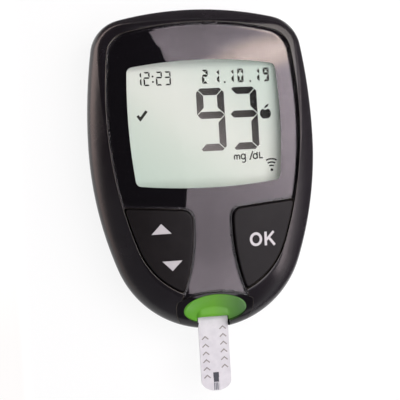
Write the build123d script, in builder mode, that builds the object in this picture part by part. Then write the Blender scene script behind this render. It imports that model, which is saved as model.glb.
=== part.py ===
from build123d import *
import os
from math import asin, cos, degrees, hypot, radians, sin, sqrt, tan

# Handheld blood glucose meter, lying on its back.
# +X is to the right of the face, +Y runs to the top end, +Z stands out of the face.
# The origin is the centre of the outline, on the plane that the back rests on. All in mm.

# ---------------------------------------------------------------- driving dimensions
length = 78.5
width = 56.0
thickness = 18.0

# Outline at its widest level: one crown arc, two shoulders, bowed sides and a round chin.
widest_z = 8.5  # height of the widest outline, where the two shells part
widest_y = 7.0
crown_r = 85.0
shoulder_r = 9.0
side_r = 140.0
chin_r = 24.0

# The rim draws in above the widest level, and the back rolls in below it.
rim_side, rim_side_rise = 4.5, 5.8  # inset of the lens edge at the sides, and its height
rim_crown, rim_crown_rise = 4.25, 6.9
rim_chin, rim_chin_rise = 7.6, 6.6
rim_power = 1.7
rim_blend_r = 2.5
back_roll, back_roll_rise = 7.7, 9.2
back_edge_r = 0.8
rim_levels = 6
back_levels = 5

# The face is a barrel: one radius across it and a flatter one along it.
dome_across_r = 78.0
dome_along_r = 190.0
dome_y = 2.0

wall = 1.6
plate = 1.2  # the front shell's face under the lens
lens = 1.2
lens_edge = 0.25  # bevel round the top of the lens
print_film = 0.08
tape = 0.17
print_inset = 0.5  # of the print, from the edge of the lens
tape_window = 0.8  # of the tape's opening past the window
fit_gap = 0.1  # between pieces that are fitted and don't move
key_gap = 0.3  # round a key

# Opening of the rim, which the lens and the two keys fill.
opening_half_width = 23.5
opening_top_y = 35.0
opening_bottom_y = -31.5
opening_widest_y = 13.5
opening_crown_r = 88.0
opening_shoulder_r = 5.5
opening_side_r = 113.0
opening_chin_r = 19.0

# Keys, and the stem of the lens between them.
stem_half_width = 4.65
stem_throat_y = -14.0
stem_flare_r = 45.3
key_top_y = -9.2  # of the key's top edge, half way across one key
key_top_slope = 5.1  # degrees that this edge falls towards the stem
key_corner_r = 2.5
key_tip_r = 0.7
key_skin = 1.5
key_wall = 1.2
key_flange = 0.8
key_flange_reach = 0.9
key_edge_r = 0.35
key_travel = 0.4
plunger_r = 1.5
ok_spot = (11.9, -17.9)
rocker_spot = (-11.3, -18.6)
rocker_lean = 15.0  # degrees that the rocker's pivot leans
rocker_throw = 6.0  # from the pivot to each plunger
rock_angle = 2.2  # degrees each way
rock_room = 0.6  # between the flange of a key and the plate above it
pivot_z = 10.5
pivot_r = 0.6
rim_saddle = 8.5  # from the rocker's middle to the saddle of its pivot by the rim
stem_saddle = 9.2  # and to the one under the stem
lug_back = 2.1  # from a saddle's middle to the middle of the key's lug beside it
saddle_sheet = 1.2
saddle_width = 2.8
saddle_foot = 1.0  # how far the saddle reaches below the pivot's axis
saddle_throat = 1.0  # of the slot that the pivot snaps in through
running_gap = 0.06

# Window printed on the lens.
window_half_width = 18.1
window_top_y = 24.6
window_bottom_y = -3.75
window_crown = 1.2
window_side_bow = 0.75
window_corner_r = 1.5
window_taper = 0.65  # how much narrower the window's foot is, on each side

# Display stack, from the top down.
display_z = 12.0
glass_width, glass_length = 40.0, 34.0
glass_y = 10.4
glass = 0.7
polarizer = 0.18
polarizer_margin = 1.0
ledge = 1.8  # strip of the front glass that stands out over the rear one
zebra = 1.4
guide = 2.4
guide_margin = 0.6
holder_wall = 0.9
holder_floor = 0.6
aperture_gap = 0.3
display_led = (2.8, 0.9, 1.0)
display_led_x = 9.0

# Board.
board_z = 5.9
board = 1.0
board_gap = 0.6  # from the board's edge to the inside of the shells
boss_r = 1.8
crown_boss_in = (12.8, 7.05)  # from the side and from the top end of the outline
stem_boss_y = -12.6  # of the boss under the stem
screw_r = 0.6
screw_head_r = 1.4
screw_head = 0.7
screw_length = 3.2

# Strip port. Its scoop is a ball's hollow that leans out over the end of the meter.
port_y = -34.25
port_half_width = 7.6
port_half_length = 3.65
port_flange = 0.8
scoop_r = 14.0
scoop_top_z = 14.6
brow_y = -36.4  # of the rounded brow over the slot
brow_rise = 1.3
brow_r = 0.9
bezel_half_width = 9.3
bezel_half_length = 8.2
bezel_y = -33.6
stem_end_half_width = 10.5
stem_end_lip = 0.5  # of the bezel that shows between the lens and the port

# Test strip.
strip_width = 7.4
strip_base = 0.25
strip_cover = 0.15
strip_z = 7.8
strip_tip_y = -54.7
strip_tip_reach = 2.5  # length of the strip's round end
strip_length = 29.0
strip_pads = 5.5  # of the base that the cover leaves bare at the inner end
strip_travel = 20.0
chamber_width = 1.3
chamber_length = 3.2
slot_side_gap = 0.25
slot_floor_gap = 0.2
slot_headroom = 0.7  # between the strip and the roof of the port's slot
seat_gap = 0.06  # between the strip and the connector

# Strip connector.
connector_width = 13.0
connector_mouth_y = -30.0
connector_back = 3.3  # of the connector past the strip's inner end
connector_roof = 1.8
contact_count = 5
contact_pitch = 1.2
contact_width = 0.6
contact_sheet = 0.15
contact_rise = 1.2
port_led = (1.6, 0.8, 0.55)
port_led_x = 5.6

# Battery bay: two coin cells side by side, plus side towards the door.
cell_r = 10.0
cell_height = 3.2
cell_cap_r = 8.7
cell_step = 0.5
cell_pitch = 21.2
cells_y = 19.0
cell_gap = 0.3
cell_corner_r = 9.0
bay_wall = 1.1
bay_roof_sheet = 0.6
door = 1.4
door_margin = 0.3  # of the door past the bay, on each side
door_overlap = 1.2  # of the door past the bay, at its inner end
door_gap = 0.15
tongue = 0.6
tongue_reach = 0.8
door_lip = 2.0
grip_count = 6
grip_pitch = 1.7
grip_r = 0.5
grip_length = 15.0
grip_y = 31.0
door_travel = 36.0
leaf = 0.2
leaf_width = 3.0
leaf_reach = 6.0

# Lap joint between the shells.
lap = 1.0
lap_sheet = 0.7

# Snap domes and chips.
dome_r = 2.2
dome_height = 0.6
dome_sheet = 0.15
press_gap = 0.05
chip_edge = 0.15
buzzer_r, buzzer_height = 5.5, 1.5
buzzer_spot = (-12.5, -12.0)
chips = {
    "microcontroller": ((0.0, -2.0), (9.0, 9.0, 0.9)),
    "radio_module": ((12.0, -19.0), (8.0, 10.0, 1.4)),
    "strip_amplifier": ((-1.5, -24.0), (4.5, 4.5, 0.8)),
    "clock_crystal": ((8.5, 2.0), (3.2, 1.5, 0.8)),
    "storage_capacitor": ((-9.0, 0.5), (6.0, 3.2, 1.8)),
}

# ---------------------------------------------------------------- derived sizes
print_depth = lens
tape_depth = print_depth + print_film
plate_depth = tape_depth + tape
plate_foot = plate_depth + plate
flange_depth = plate_foot + rock_room
skirt_depth = flange_depth + key_flange
board_top = board_z + board
slot_floor = strip_z - slot_floor_gap
strip_top = strip_z + strip_base + strip_cover
slot_roof = strip_top + slot_headroom
slot_half_width = strip_width / 2 + slot_side_gap
strip_inner_y = strip_tip_y + strip_length
connector_back_y = strip_inner_y + connector_back
front_glass_z = display_z - polarizer - glass
rear_glass_z = front_glass_z - glass
guide_z = rear_glass_z - polarizer - fit_gap - guide
glass_foot_y = glass_y - glass_length / 2
bay_half_width = cell_pitch / 2 + cell_r + cell_gap
bay_length = 2 * (cell_r + cell_gap)
bay_foot_y = cells_y - bay_length / 2
cell_z = door + fit_gap + cell_gap / 2
bay_roof = cell_z + cell_height + fit_gap
door_y = bay_foot_y - door_overlap
door_half_width = bay_half_width + door_margin
dome_top = board_top + dome_height
far = 2 * length


# ---------------------------------------------------------------- outlines and forms
def point_towards(centre, target, radius):
    """The point of a circle that lies on the way from its centre to a target."""
    away = hypot(target[0] - centre[0], target[1] - centre[1])
    return tuple(c + (t - c) * radius / away for c, t in zip(centre, target))


def circles_meet(centre_a, radius_a, centre_b, radius_b):
    """One meeting point of two circles: the one on the right, going from a to b."""
    dx, dy = centre_b[0] - centre_a[0], centre_b[1] - centre_a[1]
    apart = hypot(dx, dy)
    along = (radius_a**2 - radius_b**2 + apart**2) / (2 * apart)
    aside = sqrt(radius_a**2 - along**2)
    return (
        centre_a[0] + (along * dx - aside * dy) / apart,
        centre_a[1] + (along * dy + aside * dx) / apart,
    )


def egg(half_width, top_y, bottom_y, middle_y, crown, shoulder, side, chin):
    """Draw a closed egg of tangent arcs, the same left and right, in the open BuildLine."""
    crown_c = (0, top_y - crown)
    side_c = (half_width - side, middle_y)
    chin_c = (0, bottom_y + chin)
    drop = middle_y - bottom_y
    flank = (half_width**2 + drop**2 - 2 * drop * chin) / (2 * (half_width - chin))
    flank_c = (half_width - flank, middle_y)
    shoulder_c = circles_meet(side_c, side - shoulder, crown_c, crown - shoulder)
    ends = [
        point_towards(crown_c, shoulder_c, crown),
        point_towards(side_c, shoulder_c, side),
        (half_width, middle_y),
        point_towards(flank_c, chin_c, flank),
    ]
    arcs = []
    rounds = [(shoulder_c, shoulder), (side_c, side), (flank_c, flank)]
    for (centre, radius), start, end in zip(rounds, ends, ends[1:]):
        between = ((start[0] + end[0]) / 2, (start[1] + end[1]) / 2)
        arcs.append((start, point_towards(centre, between, radius), end))
    ThreePointArc((-ends[0][0], ends[0][1]), (0, top_y), ends[0])
    for arc in arcs:
        ThreePointArc(*arc)
    ThreePointArc(ends[-1], (0, bottom_y), (-ends[-1][0], ends[-1][1]))
    for arc in reversed(arcs):
        ThreePointArc(*[(-x, y) for x, y in reversed(arc)])


def level_insets(z):
    """How far the outline at height z lies inside the widest one: side, crown and chin."""
    up = z - widest_z
    if up > 0:
        return (
            rim_side * (up / rim_side_rise) ** rim_power,
            rim_crown * (up / rim_crown_rise) ** rim_power,
            rim_chin * (up / rim_chin_rise) ** rim_power,
        )
    roll = back_roll * (1 - sqrt(1 - (up / back_roll_rise) ** 2))
    return roll, roll, roll


def level_outline(z, inside=0.0):
    """Draw the body's outline at height z, moved inwards, in the open BuildLine."""
    side, crown, chin = (inset + inside for inset in level_insets(z))
    share = side / (width / 2)  # the arcs tighten as the outline shrinks
    egg(
        width / 2 - side,
        length / 2 - crown,
        chin - length / 2,
        widest_y * (1 + 2 * share),
        crown_r * (1 - share / 2),
        shoulder_r * (1 - 1.75 * share),
        side_r * (1 - share / 2),
        chin_r * (1 - 1.3 * share),
    )


def body_form(low, high, inside=0.0):
    """The rounded body between two heights, moved inwards, before the face is cut."""
    below = [low + (widest_z - low) * n / back_levels for n in range(back_levels)]
    above = [widest_z + (high - widest_z) * n / rim_levels for n in range(rim_levels + 1)]
    with BuildPart() as form:
        for z in below + above:
            with BuildSketch(Plane.XY.offset(z)):
                with BuildLine():
                    level_outline(z, inside)
                make_face()
        loft()
    return form.part


def under_face(depth):
    """All the space under the face's double curve, lowered square to itself by depth."""
    half = 0.7 * width
    reach = degrees(asin(0.65 * length / dome_along_r))
    pivot = (0, dome_y, thickness - dome_along_r)
    tilt = radians(reach)
    section = Plane(origin=pivot, x_dir=(1, 0, 0), z_dir=(0, -cos(tilt), sin(tilt)))
    centre = dome_along_r - dome_across_r
    radius = dome_across_r - depth
    lean_in = asin(half / radius)
    edge = centre + radius * cos(lean_in)
    pull = 4 / 3 * radius * tan(lean_in / 2)  # of a Bezier's handles, to follow the arc
    handle = (half - pull * cos(lean_in), edge + pull * sin(lean_in))
    foot = dome_along_r - 1.6 * thickness
    with BuildPart() as space:
        with BuildSketch(section):
            with BuildLine():
                Bezier((-half, edge), (-handle[0], handle[1]), handle, (half, edge))
                Polyline((half, edge), (half, foot), (-half, foot), (-half, edge))
            make_face()
        revolve(axis=Axis(pivot, (1, 0, 0)), revolution_arc=2 * reach)
    return space.part


def face_height(x, y, depth=0.0):
    """Height of that double curve over a place."""
    across = sqrt((dome_across_r - depth) ** 2 - x**2)
    reach = dome_along_r - dome_across_r + across
    return thickness - dome_along_r + sqrt(reach**2 - (y - dome_y) ** 2)


def opening_face(inside=0.0):
    """The rim's opening as a face, moved inwards."""
    with BuildSketch() as face:
        with BuildLine():
            egg(
                opening_half_width - inside,
                opening_top_y - inside,
                opening_bottom_y + inside,
                opening_widest_y,
                opening_crown_r - inside,
                opening_shoulder_r - inside,
                opening_side_r - inside,
                opening_chin_r - inside,
            )
        make_face()
    return face.sketch


def key_pocket(inside=0.0):
    """The right key's place in the opening as a face, moved inwards."""
    middle = (opening_half_width + stem_half_width) / 2
    with BuildSketch() as pocket:
        add(opening_face(inside))
        with Locations((stem_half_width + stem_flare_r, stem_throat_y)):
            Circle(stem_flare_r - inside, mode=Mode.INTERSECT)
        with Locations(Location((middle, key_top_y - inside, 0), (0, 0, key_top_slope))):
            Rectangle(far, far, align=(Align.CENTER, Align.MAX), mode=Mode.INTERSECT)
        fillet(pocket.vertices().sort_by(Axis.X)[0], key_corner_r - inside)
        fillet(pocket.vertices().sort_by(Axis.X)[-1], key_tip_r)
        fillet(pocket.vertices().sort_by(Axis.Y)[0], key_tip_r)
    return pocket.sketch


def port_face(outside=0.0):
    """The oval of the strip port as a face, moved outwards."""
    with BuildSketch() as face:
        with Locations((0, port_y)):
            Ellipse(port_half_width + outside, port_half_length + outside)
    return face.sketch


def bezel_face(outside=0.0):
    """The ring round the port as a face, from the foot of the lens out over the chin."""
    with BuildSketch() as face:
        with Locations((0, port_y)):
            Ellipse(stem_end_half_width + outside, port_half_length + stem_end_lip + outside)
            Rectangle(far, far, align=(Align.CENTER, Align.MAX))
        with Locations((0, bezel_y)):
            Ellipse(
                bezel_half_width + outside, bezel_half_length + outside, mode=Mode.INTERSECT
            )
    return face.sketch


def lens_face(inside=0.0):
    """The lens as a face: the opening without the keys, and the stem down to the bezel."""
    pocket = key_pocket(-inside)
    flare_x = stem_half_width + stem_flare_r
    with BuildSketch() as foot:
        with Locations((0, port_y + port_half_length / 2)):
            Rectangle(
                2 * stem_end_half_width, 2 * port_half_length, align=(Align.CENTER, Align.MIN)
            )
        with Locations((-flare_x, stem_throat_y), (flare_x, stem_throat_y)):
            Circle(stem_flare_r + inside, mode=Mode.SUBTRACT)
    with BuildSketch() as face:
        add(opening_face(inside))
        add(foot.sketch)
        add(pocket, mode=Mode.SUBTRACT)
        mirror(pocket, about=Plane.YZ, mode=Mode.SUBTRACT)
        add(bezel_face(inside), mode=Mode.SUBTRACT)
    return face.sketch


def window_face(outside=0.0):
    """The window over the display as a face, moved outwards: four bowed sides, narrower at the foot."""
    top_half = window_half_width + outside
    foot_half = top_half - window_taper
    top_y, foot_y = window_top_y + outside, window_bottom_y - outside
    middle = ((top_half + foot_half) / 2 + window_side_bow, (top_y + foot_y) / 2)
    with BuildSketch() as face:
        with BuildLine():
            corners = [
                (-top_half, top_y),
                (top_half, top_y),
                (foot_half, foot_y),
                (-foot_half, foot_y),
            ]
            bows = [
                (0, top_y + window_crown),
                middle,
                (0, foot_y - window_crown),
                (-middle[0], middle[1]),
            ]
            for start, bow, end in zip(corners, bows, corners[1:] + corners[:1]):
                ThreePointArc(start, bow, end)
        make_face()
        fillet(face.vertices(), window_corner_r + outside)
    return face.sketch


def write(builder, name):
    """Label a finished piece and write it out."""
    builder.part.label = name
    export_step(builder.part, f"parts/{name}.step")


os.makedirs("parts", exist_ok=True)

# ---------------------------------------------------------------- shared blanks
under_skin = under_face(0)
under_lens = under_face(print_depth)
under_print = under_face(tape_depth)
under_tape = under_face(plate_depth)
under_plate = under_face(plate_foot)

with BuildPart() as blank:
    add(body_form(0, thickness + fit_gap))
    add(under_skin, mode=Mode.INTERSECT)
    fillet(blank.faces().sort_by(Axis.Z)[-1].edges(), rim_blend_r)
    fillet(blank.faces().sort_by(Axis.Z)[0].edges(), back_edge_r)

with BuildPart() as hollow:
    add(body_form(wall, thickness - wall, wall))
    add(under_plate, mode=Mode.INTERSECT)

crown_boss = (width / 2 - crown_boss_in[0], length / 2 - crown_boss_in[1])
boss_spots = [(-crown_boss[0], crown_boss[1]), crown_boss, (0, stem_boss_y)]
lean = radians(rocker_lean)
pivot_plane = Plane(
    origin=(*rocker_spot, pivot_z), x_dir=(-sin(lean), cos(lean), 0), z_dir=(cos(lean), sin(lean), 0)
)


def beside_rocker(back=0.0):
    """The places of the saddles, or nearer by back, along the rocker's pivot and turned with it."""
    x, y = rocker_spot
    return [
        Location((x + reach * cos(lean), y + reach * sin(lean), 0), (0, 0, rocker_lean))
        for reach in (back - rim_saddle, stem_saddle - back)
    ]


# ---------------------------------------------------------------- front shell
with BuildPart() as lens_recess:
    with BuildSketch():
        add(lens_face(-fit_gap))
    extrude(amount=2 * thickness)
    add(under_tape, mode=Mode.SUBTRACT)

with BuildPart() as front_housing:
    add(blank.part)
    split(bisect_by=Plane.XY.offset(widest_z), keep=Keep.TOP)
    add(hollow.part, mode=Mode.SUBTRACT)
    with BuildSketch(Plane.XY.offset(widest_z)):
        with BuildLine():
            level_outline(widest_z, wall - lap_sheet - fit_gap)
        make_face()
    extrude(amount=lap + fit_gap, mode=Mode.SUBTRACT)
    with BuildSketch(Plane.XY.offset(board_top)):
        with Locations(boss_spots):
            Circle(boss_r)
    extrude(amount=thickness)
    with BuildSketch(Plane.XY.offset(pivot_z - saddle_foot)):
        with Locations(beside_rocker()):
            Rectangle(saddle_sheet, saddle_width)
    extrude(amount=thickness)
    add(blank.part, mode=Mode.INTERSECT)
    add(lens_recess.part, mode=Mode.SUBTRACT)
    with BuildSketch(Plane.XY.offset(board_top)):
        with Locations((0, glass_y)):
            Rectangle(glass_width + 2 * aperture_gap, glass_length + 2 * aperture_gap)
    extrude(amount=thickness, mode=Mode.SUBTRACT)
    with BuildSketch(Plane.XY.offset(board_top)):
        add(key_pocket())
    extrude(amount=thickness, mode=Mode.SUBTRACT)
    with BuildSketch(Plane.XY.offset(board_top)):
        mirror(key_pocket(), about=Plane.YZ)
    extrude(amount=thickness, mode=Mode.SUBTRACT)
    with BuildSketch(Plane.XY.offset(slot_floor)):
        add(bezel_face(fit_gap))
    extrude(amount=thickness, mode=Mode.SUBTRACT)
    with BuildSketch(Plane.XY.offset(board_top)):
        with Locations(boss_spots):
            Circle(screw_r + running_gap)
    extrude(amount=screw_length, mode=Mode.SUBTRACT)
    with BuildSketch(pivot_plane.offset(-rim_saddle - saddle_sheet / 2 - fit_gap)):
        Circle(pivot_r + running_gap)
        Rectangle(saddle_throat, 2 * saddle_foot, align=(Align.CENTER, Align.MAX))
    extrude(amount=rim_saddle + stem_saddle + saddle_sheet + 2 * fit_gap, mode=Mode.SUBTRACT)
write(front_housing, "front_housing")

# ---------------------------------------------------------------- lens
with BuildPart() as face_lens:
    with BuildSketch(Plane.XY.offset(board_top)):
        add(lens_face(fit_gap))
    extrude(amount=thickness)
    add(under_skin, mode=Mode.INTERSECT)
    add(under_lens, mode=Mode.SUBTRACT)
    chamfer(face_lens.faces().sort_by(Axis.Z)[-1].edges(), lens_edge)
write(face_lens, "face_lens")

with BuildPart() as lens_print:
    with BuildSketch(Plane.XY.offset(board_top)):
        add(lens_face(fit_gap + print_inset))
        add(window_face(), mode=Mode.SUBTRACT)
    extrude(amount=thickness)
    add(under_lens, mode=Mode.INTERSECT)
    add(under_print, mode=Mode.SUBTRACT)
write(lens_print, "lens_print")

with BuildPart() as lens_tape:
    with BuildSketch(Plane.XY.offset(board_top)):
        add(lens_face(2 * print_inset))
        add(window_face(tape_window), mode=Mode.SUBTRACT)
    extrude(amount=thickness)
    add(under_print, mode=Mode.INTERSECT)
    add(under_tape, mode=Mode.SUBTRACT)
write(lens_tape, "lens_tape")


# ---------------------------------------------------------------- keys
def key_body():
    """The right key without its plungers: cap, skirt and flange, hollow from below."""
    with BuildPart() as flange:
        with BuildSketch(Plane.XY.offset(board_top)):
            add(key_pocket(-key_flange_reach))
        extrude(amount=thickness)
        add(under_face(flange_depth), mode=Mode.INTERSECT)
    with BuildPart() as core:
        with BuildSketch(Plane.XY.offset(board_top)):
            add(key_pocket(key_gap + key_wall))
        extrude(amount=thickness)
        add(under_face(key_skin), mode=Mode.INTERSECT)
    with BuildPart() as key:
        with BuildSketch(Plane.XY.offset(board_top)):
            add(key_pocket(key_gap))
        extrude(amount=thickness)
        add(under_skin, mode=Mode.INTERSECT)
        fillet(key.faces().sort_by(Axis.Z)[-1].edges(), key_edge_r)
        add(flange.part)
        add(under_face(skirt_depth), mode=Mode.SUBTRACT)
        add(core.part, mode=Mode.SUBTRACT)
    return key.part


def plunger_height(x, y):
    """From the tip of a plunger over its dome up into the skin of the key."""
    return face_height(x, y, key_skin / 2) - dome_top - press_gap


key = key_body()

with BuildPart() as ok_key:
    add(key)
    with Locations((*ok_spot, dome_top + press_gap)):
        Cylinder(
            plunger_r,
            plunger_height(*ok_spot),
            align=(Align.CENTER, Align.CENTER, Align.MIN),
        )
write(ok_key, "ok_key")

rocker_ends = [
    (rocker_spot[0] + side * rocker_throw * sin(lean), rocker_spot[1] - side * rocker_throw * cos(lean))
    for side in (-1, 1)
]
with BuildPart() as arrow_key:
    mirror(key, about=Plane.YZ)
    for spot in rocker_ends:
        with Locations((*spot, dome_top + press_gap)):
            Cylinder(
                plunger_r,
                plunger_height(*spot),
                align=(Align.CENTER, Align.CENTER, Align.MIN),
            )
    for place in beside_rocker(lug_back):
        spot = place.position
        with BuildSketch(Plane.XY.offset(pivot_z - pivot_r)):
            with Locations(place):
                Rectangle(key_wall, 3 * pivot_r)
        extrude(amount=face_height(spot.X, spot.Y, flange_depth + key_flange / 2) - pivot_z + pivot_r)
    with BuildSketch(pivot_plane.offset(-rim_saddle - saddle_sheet / 2)):
        Circle(pivot_r)
    extrude(amount=rim_saddle + stem_saddle + saddle_sheet)
write(arrow_key, "arrow_key")

# ---------------------------------------------------------------- snap domes
dome_ball_r = (dome_r**2 + dome_height**2) / (2 * dome_height)
with BuildPart() as dome:
    with BuildSketch(Plane.XZ):
        with Locations((0, dome_height - dome_ball_r)):
            Circle(dome_ball_r)
            Circle(dome_ball_r - dome_sheet, mode=Mode.SUBTRACT)
        Rectangle(dome_r, dome_height, align=(Align.MIN, Align.MIN), mode=Mode.INTERSECT)
    revolve(axis=Axis.Z)

with BuildPart() as ok_dome:
    with Locations((*ok_spot, board_top)):
        add(dome.part)
write(ok_dome, "ok_dome")

with BuildPart() as arrow_domes:
    with Locations([(*spot, board_top) for spot in rocker_ends]):
        add(dome.part)
write(arrow_domes, "arrow_domes")


# ---------------------------------------------------------------- strip port and its bezel
scoop_in = (port_y + port_half_length, scoop_top_z)
scoop_out = (port_y - port_half_length, slot_floor)
chord = (scoop_out[0] - scoop_in[0], scoop_out[1] - scoop_in[1])
chord_length = hypot(*chord)
scoop_lift = sqrt(scoop_r**2 - (chord_length / 2) ** 2) / chord_length
scoop_centre = (
    0,
    (scoop_in[0] + scoop_out[0]) / 2 + chord[1] * scoop_lift,
    (scoop_in[1] + scoop_out[1]) / 2 - chord[0] * scoop_lift,
)

with BuildPart() as brow:
    with BuildSketch(Plane.XY.offset(slot_roof)):
        with Locations((0, brow_y)):
            Rectangle(
                2 * slot_half_width, port_y + port_half_length / 2 - brow_y, align=(Align.CENTER, Align.MIN)
            )
    extrude(amount=brow_rise)
    fillet(brow.faces().sort_by(Axis.Z)[-1].edges().sort_by(Axis.Y)[:-1], brow_r)

with BuildPart() as strip_port:
    with BuildSketch(Plane.XY.offset(slot_floor)):
        add(port_face())
    extrude(amount=thickness - slot_floor)
    with BuildSketch(Plane.XY.offset(slot_floor)):
        add(port_face(port_flange))
        with Locations((0, port_y)):
            Rectangle(far, far, align=(Align.CENTER, Align.MAX), mode=Mode.SUBTRACT)
    extrude(amount=port_flange)
    add(blank.part, mode=Mode.INTERSECT)
    with Locations(scoop_centre):
        Sphere(scoop_r, mode=Mode.SUBTRACT)
    add(brow.part)
    with BuildSketch(Plane.XY.offset(slot_floor)):
        with Locations((0, port_y)):
            Rectangle(2 * slot_half_width, far)
    extrude(amount=slot_roof - slot_floor, mode=Mode.SUBTRACT)
write(strip_port, "strip_port")

with BuildPart() as port_bezel:
    with BuildSketch(Plane.XY.offset(slot_floor)):
        add(bezel_face())
    extrude(amount=thickness - slot_floor)
    add(blank.part, mode=Mode.INTERSECT)
    with BuildSketch(Plane.XY.offset(slot_floor)):
        add(port_face(fit_gap))
        with Locations((0, port_y)):
            Rectangle(2 * slot_half_width, far, align=(Align.CENTER, Align.MAX))
    extrude(amount=thickness, mode=Mode.SUBTRACT)
    with BuildSketch(Plane.XY.offset(slot_floor)):
        add(port_face(port_flange + fit_gap))
        with Locations((0, port_y)):
            Rectangle(far, far, align=(Align.CENTER, Align.MAX), mode=Mode.SUBTRACT)
        with Locations((0, port_y)):
            Rectangle(2 * slot_half_width, far, align=(Align.CENTER, Align.MIN))
    extrude(amount=port_flange + fit_gap, mode=Mode.SUBTRACT)
write(port_bezel, "port_bezel")


# ---------------------------------------------------------------- test strip
def strip_face(inner_y):
    """A film of the strip as a face, from its round tip to an inner end."""
    with BuildSketch() as face:
        with Locations((0, strip_tip_y + strip_tip_reach)):
            Ellipse(strip_width / 2, strip_tip_reach)
            Rectangle(
                strip_width,
                inner_y - strip_tip_y - strip_tip_reach,
                align=(Align.CENTER, Align.MIN),
            )
    return face.sketch


with BuildPart() as strip_base_film:
    with BuildSketch(Plane.XY.offset(strip_z)):
        add(strip_face(strip_inner_y))
    extrude(amount=strip_base)
    inner_corners = strip_base_film.edges().filter_by(Axis.Z).group_by(Axis.Y)[-1]
    chamfer(inner_corners, strip_pads / 8)
write(strip_base_film, "strip_base_film")

with BuildPart() as strip_cover_film:
    with BuildSketch(Plane.XY.offset(strip_z + strip_base)):
        add(strip_face(strip_inner_y - strip_pads))
        with Locations((0, strip_tip_y)):
            Rectangle(
                chamber_width,
                chamber_length,
                align=(Align.CENTER, Align.MIN),
                mode=Mode.SUBTRACT,
            )
    extrude(amount=strip_cover)
write(strip_cover_film, "strip_cover_film")

# ---------------------------------------------------------------- strip connector
contact_roof = strip_top + contact_rise
with BuildPart() as strip_connector:
    with BuildSketch(Plane.XY.offset(board_top)):
        with Locations((0, connector_mouth_y)):
            Rectangle(
                connector_width, connector_back_y - connector_mouth_y, align=(Align.CENTER, Align.MIN)
            )
    extrude(amount=strip_top + connector_roof - board_top)
    with BuildSketch(Plane.XY.offset(strip_z - seat_gap)):
        with Locations((0, strip_inner_y + seat_gap)):
            Rectangle(strip_width + 2 * seat_gap, far, align=(Align.CENTER, Align.MAX))
    extrude(amount=strip_base + strip_cover + 2 * seat_gap, mode=Mode.SUBTRACT)
    with BuildSketch(Plane.XY.offset(strip_z + strip_base)):
        with Locations((0, strip_inner_y - strip_pads / 2)):
            with GridLocations(contact_pitch, 1, contact_count, 1):
                Rectangle(contact_width + fit_gap, far, align=(Align.CENTER, Align.MIN))
    extrude(amount=contact_roof + contact_sheet - strip_z - strip_base, mode=Mode.SUBTRACT)
    chamfer(strip_connector.edges().filter_by(Axis.X).group_by(Axis.Z)[-1], chip_edge)
write(strip_connector, "strip_connector")

touch_z = strip_z + strip_base + seat_gap + contact_sheet / 2
tail_y = connector_back_y + 2 * contact_sheet
with BuildPart() as strip_contacts:
    for n in range(contact_count):
        x = (n - (contact_count - 1) / 2) * contact_pitch
        with BuildSketch(Plane.YZ.offset(x)):
            with BuildLine() as path:
                FilletPolyline(
                    (tail_y + contact_rise, board_top + contact_sheet / 2),
                    (tail_y, board_top + contact_sheet / 2),
                    (tail_y, contact_roof),
                    (strip_inner_y + contact_rise / 2, contact_roof),
                    (strip_inner_y - 0.35 * strip_pads, touch_z),
                    (strip_inner_y - 0.45 * strip_pads, touch_z + contact_sheet),
                    radius=contact_sheet,
                )
            trace(line_width=contact_sheet)
        extrude(amount=contact_width / 2, both=True)
write(strip_contacts, "strip_contacts")

# ---------------------------------------------------------------- display
holder_size = (glass_width + 2 * holder_wall, glass_length + 2 * holder_wall)
zebra_y = glass_foot_y + ledge / 2
guide_size = (
    glass_width - 2 * polarizer_margin - 2 * guide_margin,
    glass_length - ledge - 2 * polarizer_margin - guide_margin,
)
guide_y = glass_foot_y + ledge + polarizer_margin + guide_margin / 2 + guide_size[1] / 2
display_led_y = guide_y + guide_size[1] / 2 - display_led[1]

with BuildPart() as lcd_front_polarizer:
    with Locations((0, glass_y, display_z - polarizer / 2)):
        Box(glass_width - 2 * polarizer_margin, glass_length - 2 * polarizer_margin, polarizer)
write(lcd_front_polarizer, "lcd_front_polarizer")

with BuildPart() as lcd_front_glass:
    with Locations((0, glass_y, front_glass_z + glass / 2)):
        Box(glass_width, glass_length, glass)
write(lcd_front_glass, "lcd_front_glass")

with BuildPart() as lcd_rear_glass:
    with Locations((0, glass_y + ledge / 2, rear_glass_z + glass / 2)):
        Box(glass_width, glass_length - ledge, glass)
write(lcd_rear_glass, "lcd_rear_glass")

with BuildPart() as lcd_rear_polarizer:
    with Locations((0, glass_y + ledge / 2, rear_glass_z - polarizer / 2)):
        Box(
            glass_width - 2 * polarizer_margin,
            glass_length - ledge - 2 * polarizer_margin,
            polarizer,
        )
write(lcd_rear_polarizer, "lcd_rear_polarizer")

led_spots = [(side * display_led_x, display_led_y) for side in (-1, 1)]
with BuildPart() as light_guide:
    with BuildSketch(Plane.XY.offset(guide_z)):
        with Locations((0, guide_y)):
            Rectangle(*guide_size)
    extrude(amount=guide)
    with BuildSketch(Plane.XY.offset(guide_z)):
        with Locations(led_spots):
            Rectangle(display_led[0] + 2 * fit_gap, display_led[1] + 2 * fit_gap)
    extrude(amount=board_top + display_led[2] + fit_gap - guide_z, mode=Mode.SUBTRACT)
write(light_guide, "light_guide")

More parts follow.
